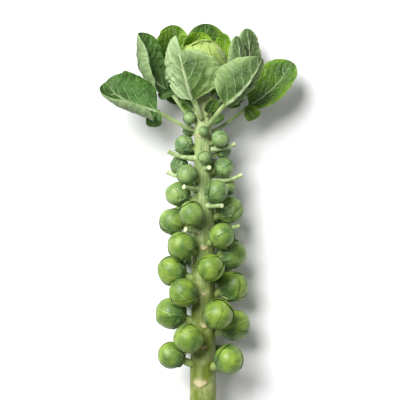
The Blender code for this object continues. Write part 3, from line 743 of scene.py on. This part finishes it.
sizes = {
    "Face": (0.0, 0.0, 1.0), "Left": 0.03, "Right": 0.03,
    "Left curl": 0.5, "Right curl": 0.5, "Bare": 0.4,
    "Fullness": 1.0, "Left blunt": 2.3, "Right blunt": 2.3,
    "Rib": 0.0025, "Blade": 0.0007, "Ruffle": 0.003,
    "Ruffles": 9.0, "Crinkle": 0.0012, "Crinkles": 26.0,
    "Blister": 0.0012, "Left stop": 1.0,
    "Seed": 1.0, "Youth": 0.0, "Bloom": 0.0, "Right sweep": 0.0,
    "Columns": BLADE_COLUMNS, "Rows": BLADE_ROWS, "Skin": crown_blade,
}
tree, given, result = new_tree("blade_along_its_rib", sizes)
smooth_path = add(tree, "CurveSplineType", {"Curve": given["Geometry"]}, spline_type="CATMULL_ROM")
smooth_path = add(tree, "SetSplineResolution", {"Geometry": smooth_path, "Resolution": 24})
two = add(tree, "Points", {"Count": 2})
two = add(
    tree, "StoreNamedAttribute:FLOAT",
    {"Geometry": two, "Name": "under", "Value": add(tree, "InputIndex")},
)
sheet = add(
    tree, "MeshGrid",
    {"Size X": 2.0, "Size Y": 1.0, "Vertices X": given["Columns"], "Vertices Y": given["Rows"]},
)
sides = add(tree, "InstanceOnPoints", {"Points": two, "Instance": sheet})
sides = add(tree, "RealizeInstances", sides)
under = add(tree, "InputNamedAttribute:FLOAT", {"Name": "under"})
flat = add(tree, "SeparateXYZ", add(tree, "InputPosition"))
hand = add(tree, "Math:SIGN", flat.outputs[0])
out = add(tree, "Math:POWER", add(tree, "Math:ABSOLUTE", flat.outputs[0]), 1.4)
across = add(tree, "Math:MULTIPLY", out, hand)
to_go = add(tree, "Math:SUBTRACT", 0.5, flat.outputs[1])
share = add(
    tree, "Math:SUBTRACT", 1.0, add(tree, "Math:POWER", add(tree, "Math:MAXIMUM", to_go, 0.0), 1.3),
)
bladed = add(
    tree, "Math:DIVIDE", add(tree, "Math:SUBTRACT", share, given["Bare"]),
    add(tree, "Math:SUBTRACT", 1.0, given["Bare"]),
)
on_blade = add(tree, "Math:MAXIMUM", bladed, 0.0)
is_right = add(tree, "Math:GREATER_THAN", flat.outputs[0], 0.0)
stop = add(tree, "MapRange", is_right, {3: given["Left stop"], 4: 1.0})
full = add(tree, "Math:MINIMUM", add(tree, "Math:DIVIDE", on_blade, stop), 1.0)
full = add(tree, "Math:POWER", full, given["Fullness"])
blunt = add(tree, "MapRange", is_right, {3: given["Left blunt"], 4: given["Right blunt"]})
from_middle = add(tree, "Math:ABSOLUTE", add(tree, "Math:MULTIPLY_ADD", full, 2.0, -1.0))
oval = add(tree, "Math:SUBTRACT", 1.0, add(tree, "Math:POWER", from_middle, blunt))
oval = add(tree, "Math:SQRT", add(tree, "Math:MAXIMUM", oval, 0.0))
width = add(tree, "MapRange", is_right, {3: given["Left"], 4: given["Right"]})
curl = add(tree, "MapRange", is_right, {3: given["Left curl"], 4: given["Right curl"]})
edge_space = add(
    tree, "CombineXYZ", add(tree, "Math:MULTIPLY", on_blade, given["Ruffles"]),
    add(tree, "Math:MULTIPLY_ADD", hand, 5.0, given["Seed"]), add(tree, "Math:MULTIPLY", out, 1.2),
)
wave = add(tree, "TexNoise", {"Vector": edge_space, "Scale": 1.0, "Detail": 2.0, "Roughness": 0.55})
wave = add(tree, "MapRange", wave, 0.25, 0.75, -1.0, 1.0).outputs[0]
ends = add(
    tree, "Math:MINIMUM", add(tree, "Math:MULTIPLY", share, 60.0),
    add(tree, "Math:MULTIPLY", add(tree, "Math:SUBTRACT", 1.0, share), 60.0),
)
ends = add(tree, "Math:MINIMUM", ends, 1.0)
rib = add(tree, "Math:MULTIPLY", given["Rib"], add(tree, "Math:MULTIPLY_ADD", on_blade, -0.75, 1.0))
rib = add(tree, "Math:MULTIPLY", rib, ends)
reach = add(
    tree, "Math:MULTIPLY", add(tree, "Math:MULTIPLY", oval, width),
    add(tree, "Math:MULTIPLY_ADD", wave, 0.035, 0.985),
)
reach = add(tree, "Math:MAXIMUM", reach, rib)
bend = add(tree, "Math:MAXIMUM", add(tree, "Math:MULTIPLY", curl, oval), 0.01)
fold = add(tree, "Math:MULTIPLY", oval, math.radians(FOLD))
angle = add(tree, "Math:MULTIPLY_ADD", bend, out, fold)
scale = add(tree, "Math:DIVIDE", reach, bend)
aside = add(
    tree, "Math:MULTIPLY", scale,
    add(tree, "Math:SUBTRACT", add(tree, "Math:SINE", angle), add(tree, "Math:SINE", fold)),
)
aside = add(tree, "Math:MULTIPLY", aside, hand)
rise = add(
    tree, "Math:MULTIPLY", scale,
    add(tree, "Math:SUBTRACT", add(tree, "Math:COSINE", fold), add(tree, "Math:COSINE", angle)),
)
sampled = add(tree, "SampleCurve", {"Curves": smooth_path, "Factor": share}, mode="FACTOR")
along = sampled.outputs["Tangent"]
facing = add(tree, "VectorMath:DOT_PRODUCT", given["Face"], along)
tilted = add(tree, "VectorMath:SCALE", along, {"Scale": facing})
up = add(tree, "VectorMath:SUBTRACT", given["Face"], tilted)
up = add(tree, "VectorMath:NORMALIZE", up)
right = add(tree, "VectorMath:CROSS_PRODUCT", along, up)
up_part = add(tree, "VectorMath:SCALE", up, {"Scale": add(tree, "Math:COSINE", angle)})
side_part = add(tree, "Math:MULTIPLY", add(tree, "Math:SINE", angle), hand)
side_part = add(tree, "VectorMath:SCALE", right, {"Scale": side_part})
normal = add(tree, "VectorMath:SUBTRACT", up_part, side_part)
uv = add(tree, "CombineXYZ", add(tree, "Math:MULTIPLY_ADD", across, 0.5, 0.5), bladed)
uv_split = add(tree, "SeparateXYZ", uv)
side_mark = veins_of(tree, uv_split.outputs[0], uv_split.outputs[1], SIDE_VEINS, VEIN_SLANT, 3.0, 0.8)[1]
blister = add(tree, "Math:MULTIPLY", add(tree, "Math:MULTIPLY", side_mark, -1.0), given["Blister"])
blister = add(tree, "Math:MULTIPLY", blister, oval)
ruffle = add(
    tree, "Math:MULTIPLY", add(tree, "Math:MULTIPLY", add(tree, "Math:POWER", out, 2.2), given["Ruffle"]),
    wave,
)
ruffle = add(tree, "Math:MULTIPLY", ruffle, oval)
crinkle_space = add(
    tree, "CombineXYZ", add(tree, "Math:MULTIPLY", across, 7.0),
    add(tree, "Math:MULTIPLY", share, given["Crinkles"]), given["Seed"],
)
crinkle = add(tree, "TexNoise", {"Vector": crinkle_space, "Scale": 1.0, "Detail": 3.0})
crinkle = add(tree, "MapRange", crinkle, 0.3, 0.7, -0.5, 0.5).outputs[0]
crinkle = add(tree, "Math:MULTIPLY", add(tree, "Math:MULTIPLY", crinkle, given["Crinkle"]), oval)
crinkle = add(
    tree, "Math:MULTIPLY", crinkle, add(tree, "Math:MINIMUM", add(tree, "Math:MULTIPLY", out, 3.0), 1.0),
)
height = add(tree, "Math:ADD", add(tree, "Math:ADD", ruffle, crinkle), blister)
from_rib = add(tree, "Math:MULTIPLY", reach, out)
squared = add(
    tree, "Math:SUBTRACT", add(tree, "Math:POWER", rib, 2.0), add(tree, "Math:POWER", from_rib, 2.0),
)
round_part = add(tree, "Math:SQRT", add(tree, "Math:MAXIMUM", squared, 0.0))
groove = add(tree, "MapRange", on_blade, 0.0, 0.15, 0.6, 0.15)
above = add(tree, "Math:MULTIPLY", round_part, groove)
taper = add(
    tree, "Math:SQRT",
    add(tree, "Math:MAXIMUM", add(tree, "Math:SUBTRACT", 1.0, add(tree, "Math:POWER", out, 6.0)), 0.0),
)
thin = add(tree, "Math:MULTIPLY", add(tree, "Math:MULTIPLY", taper, given["Blade"]), ends)
below = add(tree, "Math:MULTIPLY", add(tree, "Math:ADD", thin, round_part), -1.0)
layer = add(tree, "MapRange", under, {3: above, 4: below})
height = add(tree, "Math:ADD", height, layer)
spot = add(tree, "VectorMath:SCALE", right, {"Scale": aside})
lift = add(tree, "VectorMath:SCALE", up, {"Scale": rise})
proud = add(tree, "VectorMath:SCALE", normal, {"Scale": height})
spot = add(tree, "VectorMath:ADD", spot, lift)
spot = add(tree, "VectorMath:ADD", spot, proud)
spot = add(tree, "VectorMath:ADD", spot, sampled.outputs["Position"])
forward = add(tree, "Math:MULTIPLY", add(tree, "Math:MULTIPLY", from_rib, is_right), given["Right sweep"])
forward = add(tree, "VectorMath:SCALE", along, {"Scale": forward})
spot = add(tree, "VectorMath:ADD", spot, forward)
mapped = add(
    tree, "StoreNamedAttribute:FLOAT2", {"Geometry": sides, "Name": "leaf", "Value": uv}, domain="CORNER",
)
aged = add(
    tree, "StoreNamedAttribute:FLOAT", {"Geometry": mapped, "Name": "youth", "Value": given["Youth"]},
)
# Where the pale colour lies: the right half and the tip, scaled by the leaf's bloom amount. It is partly
# real wax bloom and partly painted light on the half that faces the lamp.
right_side = add(tree, "MapRange", across, -0.05, 0.55)
near_tip = add(tree, "MapRange", on_blade, 0.55, 0.95)
bloom_and_painted_light = add(tree, "Math:MULTIPLY", add(tree, "Math:MAXIMUM", right_side, near_tip), given["Bloom"])
aged = add(tree, "StoreNamedAttribute:FLOAT", {"Geometry": aged, "Name": "bloom", "Value": bloom_and_painted_light})
shaped = add(tree, "SetPosition", {"Geometry": aged, "Position": spot})
turned = add(tree, "FlipFaces", {"Mesh": shaped, "Selection": add(tree, "Math:GREATER_THAN", under, 0.5)})
closed = add(tree, "MergeByDistance", {"Geometry": turned, "Distance": 0.000004})
end_tree(tree, closed, given["Skin"], result)
leaf_tree = tree


def blade_on(name, path, face, widths, curls, bare, fullest, blunts, rib, extra):
    """One leaf grown along its rib. widths and curls are those of its left and right halves."""
    curve = bpy.data.curves.new(name, "CURVE")
    curve.dimensions = "3D"
    spline = curve.splines.new("POLY")
    spline.points.add(len(path) - 1)
    for knot, point in zip(spline.points, path):
        knot.co = (*in_place(point), 1.0)
    inputs = {
        "Face": Vector(face).normalized(), "Left": widths[0] * MM, "Right": widths[1] * MM,
        "Left curl": math.radians(curls[0]), "Right curl": math.radians(curls[1]),
        "Left blunt": blunts[0], "Right blunt": blunts[1],
        "Bare": bare, "Fullness": math.log(0.5) / math.log(fullest), "Rib": rib * MM,
    }
    grown = grow(name, curve, leaf_tree, inputs | extra)
    face_outwards(grown)
    return grown


# Path of the rib, direction that the upper side faces, then for the left and right halves the widest half
# width and the curl, then the stalk's share of the path, the place of the fullest width, the two halves'
# bluntness, the rib's radius, and youth from 0, old, to 1, young
CROWN_LEAVES = {
    "leaf_far_left": (
        (
            (-7, 357, -2), (-20, 360, -3), (-34, 368, 1), (-57, 380, 7), (-80, 388, 8), (-99, 396, 8),
            (-112, 405, 8), (-121, 418, 7),
        ),
        (0.06, 0.22, 0.96), (42, 36), (142, 26), 0.43, 0.34, (2.3, 2.6), 2.6, 0.05,
    ),
    "leaf_far_right": (
        (
            (8, 355, -4), (22, 361, -6), (36, 371, -8), (54, 385, -9), (76, 400, -10), (96, 419, -12),
            (112, 443, -15),
        ),
        (-0.3, 0.1, 0.95), (30, 20), (26, 20), 0.44, 0.55, (2.3, 2.3), 2.2, 0.55,
    ),
    "leaf_front_right": (
        (
            (6, 362, 8), (12, 370, 18), (24, 385, 30), (40, 397, 39), (55, 413, 45), (68, 434, 46),
            (73, 446, 43),
        ),
        (-0.2, 0.25, -0.94), (13, 44), (50, 46), 0.36, 0.34, (2.3, 2.0), 2.9, 0.45,
    ),
    "leaf_left": (
        (
            (-9, 373, -3), (-21, 380, -8), (-38, 402, -11), (-60, 419, -12), (-76, 441, -12),
            (-75, 480, -12),
        ),
        (0.6, 0.05, 0.8), (38.5, 29), (130, 34), 0.38, 0.52, (2.3, 3.0), 2.8, 0.18,
    ),
    "leaf_rear_left": (
        ((-5, 381, -11), (-18, 397, -27), (-32, 420, -38), (-39, 450, -39), (-37, 490, -31)),
        (0.2, -0.12, 0.95), (27, 24), (36, 15), 0.34, 0.52, (2.6, 2.6), 2.4, 0.62,
    ),
    "leaf_rear": (
        ((3, 380, -10), (4, 402, -30), (4, 424, -46), (4, 458, -47), (3, 492, -40)), (0.0, -0.15, 0.98),
        (28, 28), (12, 16), 0.34, 0.52, (2.8, 2.8), 2.4, 0.5,
    ),
    "leaf_right": (
        ((9, 374, -6), (28, 392, -9), (46, 416, -11), (57, 446, -12), (55, 485, -14)),
        (-0.42, -0.05, -0.9), (22, 17), (26, 30), 0.4, 0.46, (2.3, 2.3), 2.8, 0.4,
    ),
    "leaf_inner_right": (
        ((9, 380, 3), (23, 396, 8), (38, 414, 15), (46, 438, 16), (42, 475, 8)), (-0.5, -0.05, -0.86),
        (16, 18), (30, 44), 0.34, 0.38, (1.6, 1.6), 2.2, 0.5,
    ),
    "leaf_under_left": (
        ((-5, 366, -9), (-14, 378, -28), (-28, 398, -46), (-42, 424, -50), (-52, 456, -46)),
        (0.02, 0.02, 1), (21, 21), (16, 10), 0.4, 0.5, (2.3, 2.3), 2.4, 0.3,
    ),
    "leaf_under_right": (
        ((6, 362, -9), (16, 376, -28), (30, 396, -46), (44, 420, -50), (56, 450, -47)), (-0.02, 0.02, 1),
        (21, 21), (10, 16), 0.4, 0.5, (2.3, 2.3), 2.4, 0.3,
    ),
    "small_leaf_front": (
        ((5, 374, 11), (7, 380, 15), (9, 386, 18), (12, 391, 20), (15, 396, 22)), (0.3, -0.45, 0.84),
        (9, 9), (16, 16), 0.24, 0.45, (2.3, 2.3), 1.8, 0.5,
    ),
    "small_leaf_left": (
        ((-9, 380, 1), (-14, 384, 3), (-19, 389, 5), (-22, 393, 7), (-25, 398, 8)), (0.2, -0.2, 0.95),
        (8, 8), (24, 24), 0.3, 0.5, (2.3, 2.3), 1.8, 0.5,
    ),
    "small_leaf_right": (
        ((9, 364, 3), (13, 366, 5), (17, 369, 6), (21, 372, 6), (26, 375, 5)), (-0.3, 0.5, 0.8), (7, 7),
        (20, 20), 0.24, 0.5, (2.3, 2.3), 1.6, 0.4,
    ),
    "head_wrapper_leaf": (
        (
            (-1, 370, 11), (-8, 388, 20), (-15, 403, 26), (-20, 420, 30), (-25, 439, 30), (-29, 457, 27),
            (-34, 475, 21),
        ),
        (0.6, 0.12, -0.79), (51, 51), (68, 30), 0.27, 0.4, (2.0, 1.8), 3.4, 0.55,
    ),
    "head_collar_leaf_left": (
        (
            (-3, 394, -10), (-9, 408, -26), (-12, 424, -34), (-12, 440, -37), (-10, 458, -33),
            (-6, 481, -18),
        ),
        (0.25, -0.1, 0.95), (25, 25), (44, 40), 0.22, 0.58, (3.0, 3.0), 2.2, 1.0,
    ),
    "head_collar_leaf_right": (
        ((4, 390, -10), (13, 405, -26), (20, 421, -32), (25, 440, -33), (27, 458, -30), (27, 479, -18)),
        (-0.45, -0.1, 0.88), (15.5, 18), (35, 40), 0.22, 0.55, (2.3, 2.3), 2.4, 1.0,
    ),
}
# The lobes beside the stalks: path, direction faced and half width
LOBES = {
    "leaf_far_left": (
        ((-54, 383, 6), (-58, 378, 8), (-61, 371, 9), (-62, 361, 5)), (0.1, 0.3, 0.95), 11.0,
    ),
    "leaf_left": (
        ((-37, 403, -9), (-42, 404, -6), (-49, 402, -4), (-55, 398, -5)), (0.1, 0.1, 0.98), 7.0,
    ),
    "leaf_far_right": (
        ((52, 386, -8), (57, 382, -6), (61, 378, -4), (65, 371, -7)), (-0.1, 0.2, 0.97), 11.0,
    ),
    "leaf_front_right": (
        ((27, 388, 27), (33, 388, 25), (39, 389, 23), (46, 391, 21)), (0.1, 0.3, 0.95), 6.0,
    ),
}
# What single leaves do besides: a crumpled blade with a wax bloom towards its tip and its right edge, which
# is partly painted light on that lit half, and whose left half stops short of the tip, or a right half swept
# to the tip
HABITS = {
    "head_wrapper_leaf": {
        "Ruffle": 3.0 * MM, "Ruffles": 6.0, "Crinkle": 3.2 * MM, "Crinkles": 13.0, "Bloom": 0.8,
        "Left stop": 0.74,
    },
    "leaf_far_left": {"Right sweep": 0.35},
}
for number, (node, row) in enumerate(CROWN_LEAVES.items(), 1):
    *shape, youth = row
    widths = shape[2]
    small = max(widths) < 12
    extra = {
        "Seed": float(number * 11), "Youth": youth, "Ruffle": (1.4 if small else 3.2) * MM,
        "Blister": (0.3 if small else 1.1) * MM,
    }
    extra |= HABITS.get(node, {})
    if small:
        extra |= {"Columns": 25, "Rows": 49, "Ruffles": 5.0}
    blades = [blade_on("grown_" + node, *shape, extra)]
    if node in LOBES:
        path, face, width = LOBES[node]
        extra |= {
            "Ruffle": 0.9 * MM, "Blister": 0.3 * MM, "Columns": 29, "Rows": 41, "Ruffles": 4.0,
            "Youth": youth + 0.05, "Right sweep": 0.0,
        }
        lobe = (path, face, (width, width), (25, 25), 0.08, 0.6, (2.2, 2.2), 1.4)
        blades.append(blade_on("lobe", *lobe, extra))
        blades = [joined("grown_" + node, blades)]
    for vertex in blades[0].data.vertices:
        vertex.co.z = max(vertex.co.z, 0.0)
    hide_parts(node)
    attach(blades[0], "root")

# ---------------------------------------------------------------------------------------------------------
# The surface under the stalk, the light and the camera. The surface is matt white board that runs out of
# sight, lit by a broad white window at the upper left and an even white room.
# ---------------------------------------------------------------------------------------------------------
BOARD_SIDE = 8.0
ROOM_STRENGTH = 0.33
WINDOW_STRENGTH, WINDOW_BREADTH = 5.1, 36.0
WINDOW_SIDE = Vector((-0.78, 0.88, 1.52))
FIELD_WIDTH, LENS, SENSOR = 0.500, 400.0, 36.0
VIEW_MIDDLE = in_place((-3.75, 270, 0))

# Matt coated card: even, without gloss, and a little uneven in tone.
board_card, tree, shader = new_material("matt_coated_card")
cloud = add(tree, "TexNoise", {"Scale": 40.0, "Detail": 2.0})
tone = add(tree, "MapRange", cloud, {3: 0.86, 4: 0.88})
grey = add(tree, "CombineColor", tone, tone, tone)
fill(tree, shader, {"Base Color": grey, "Roughness": 0.9, "Specular IOR Level": 0.2})

board_mesh = bpy.data.meshes.new("white_board")
half = BOARD_SIDE / 2
board_mesh.from_pydata(
    [(-half, -half, 0), (half, -half, 0), (half, half, 0), (-half, half, 0)], [], [(0, 1, 2, 3)],
)
board_mesh.materials.append(board_card)
board = bpy.data.objects.new("white_board", board_mesh)
bpy.context.scene.collection.objects.link(board)

room = bpy.data.worlds.new("white_room")
room.use_nodes = True
room.node_tree.nodes["Background"].inputs["Color"].default_value = (1.0, 1.0, 1.0, 1.0)
room.node_tree.nodes["Background"].inputs["Strength"].default_value = ROOM_STRENGTH
bpy.context.scene.world = room

window = bpy.data.objects.new("broad_window", bpy.data.lights.new("broad_window", "SUN"))
window.data.energy = WINDOW_STRENGTH
window.data.angle = math.radians(WINDOW_BREADTH)
window.rotation_euler = (-WINDOW_SIDE).to_track_quat("-Z", "Y").to_euler()
bpy.context.scene.collection.objects.link(window)

camera = bpy.data.objects.new("camera", bpy.data.cameras.new("camera"))
camera.data.lens = LENS
camera.data.sensor_width = SENSOR
camera.data.clip_end = 20.0
camera.location = VIEW_MIDDLE + Vector((0, 0, FIELD_WIDTH * LENS / SENSOR))
bpy.context.scene.collection.objects.link(camera)
bpy.context.scene.camera = camera
bpy.context.scene.view_settings.view_transform = "Standard"

bpy.context.view_layer.update()
